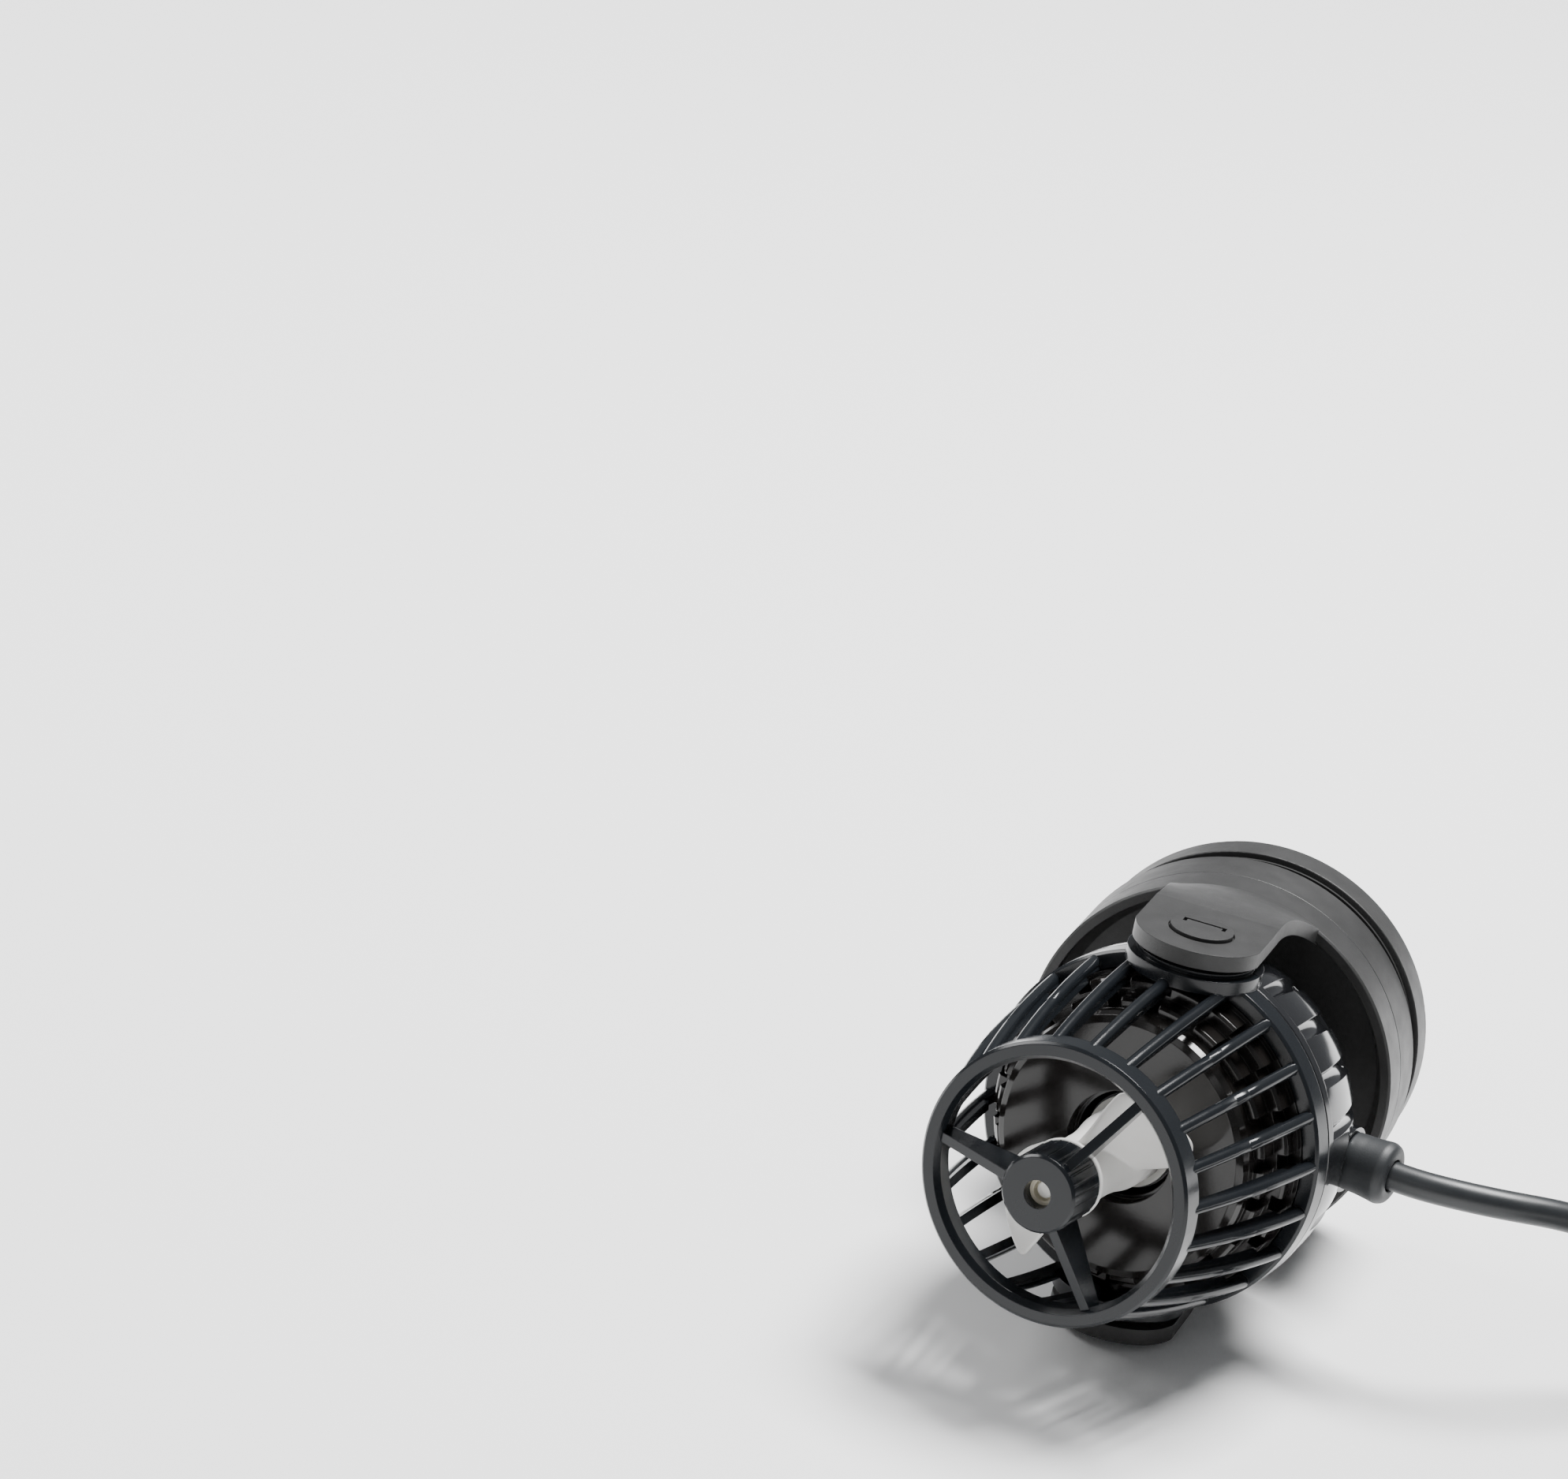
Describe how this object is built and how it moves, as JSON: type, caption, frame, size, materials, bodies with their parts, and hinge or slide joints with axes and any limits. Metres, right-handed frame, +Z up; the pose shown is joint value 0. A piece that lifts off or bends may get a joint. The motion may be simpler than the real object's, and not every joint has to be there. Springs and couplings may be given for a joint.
{
  "type": "wave maker pump",
  "caption": "Caged aquarium propeller pump in a two-armed yoke on a round magnet base in two halves, with a cable gland and a coiled lead.",
  "frame": {"origin": "middle of the pump's bounding box, without its cable, on the surface it lies on", "axes": "+Z up, the magnet base towards +Y, the propeller towards -Y, the cable leaves towards +X"},
  "size_m": [0.2059, 0.1166, 0.0785],
  "materials": {
    "guard_plastic": "injection moulded, semi-gloss blue-black",
    "cream_bush": "cream moulded bush",
    "propeller_plastic": "ivory white, smooth",
    "rotor_plastic": "ivory, smooth",
    "rotor_ferrite": "ground dark ferrite",
    "shaft_ceramic": "polished white ceramic",
    "motor_plastic": "glossy brown-black",
    "housing_plastic": "high gloss black",
    "lamination_steel": "stacked laminations",
    "bobbin_plastic": "natural nylon",
    "copper_wire": "enamelled copper winding",
    "circuit_board": "green board",
    "potting_resin": "cast black resin",
    "black_rubber": "matt moulded rubber",
    "yoke_plastic": "satin dark grey, fine grain",
    "washer_plastic": "smooth black",
    "base_plastic": "satin dark grey, light scuffs",
    "plate_steel": "plain steel plate",
    "disc_magnets": "nickel plated magnets",
    "pad_rubber": "soft pad",
    "cable_jacket": "satin black jacket",
    "tie_plastic": "flat black tie",
    "connector_plastic": "moulded black",
    "connector_brass": "plated pins"
  },
  "bodies": {
    "pump": {"rear_housing": "housing_plastic", "motor_housing": "motor_plastic", "stator_core": "lamination_steel", "coil_bobbins": "bobbin_plastic", "stator_coils": "copper_wire", "terminal_board": "circuit_board", "potting_plug": "potting_resin", "housing_seal": "black_rubber", "rear_bush": "black_rubber", "shaft": "shaft_ceramic", "upper_pivot_washer": "washer_plastic", "lower_pivot_washer": "washer_plastic", "cable_gland": "black_rubber", "cable": "cable_jacket", "cable_coil": "cable_jacket", "cable_tie": "tie_plastic", "connector_body": "connector_plastic", "connector_nut": "connector_plastic", "connector_pins": "connector_brass"},
    "rotor": {"propeller": "propeller_plastic", "rotor_sleeve": "rotor_plastic", "rotor_magnet": "rotor_ferrite", "front_thrust_washer": "cream_bush", "rear_thrust_washer": "cream_bush"},
    "guard": {"front_cage": "guard_plastic", "nose_spider": "guard_plastic", "front_bush": "cream_bush"},
    "holder": {"yoke": "yoke_plastic", "upper_pivot_cap": "yoke_plastic", "lower_pivot_cap": "yoke_plastic", "wet_magnet_cover": "base_plastic", "wet_back_plate": "plate_steel", "wet_magnets": "disc_magnets", "wet_pad": "pad_rubber"},
    "dry_half": {"dry_pad": "pad_rubber", "dry_magnets": "disc_magnets", "dry_back_plate": "plate_steel", "dry_magnet_cover": "base_plastic"}
  },
  "joints": [
    {"name": "pump_tilt", "type": "hinge", "parent": "pump", "child": "holder", "pos_m": [-0.0042, -0.00918, 0.03924], "axis": [0, 0.0793, 0.9968], "range_deg": [-22, 79]},
    {"name": "rotor_spin", "type": "hinge", "parent": "pump", "child": "rotor", "pos_m": [-0.0042, -0.00918, 0.03924], "axis": [-0.1908, -0.9785, 0.0779], "continuous": true},
    {"name": "guard_pull", "type": "slide", "parent": "pump", "child": "guard", "axis": [-0.1908, -0.9785, 0.0779], "range_m": [0, 0.045]},
    {"name": "glass_gap", "type": "slide", "parent": "holder", "child": "dry_half", "axis": [0, 0.9968, -0.0793], "range_m": [0, 0.012]}
  ]
}
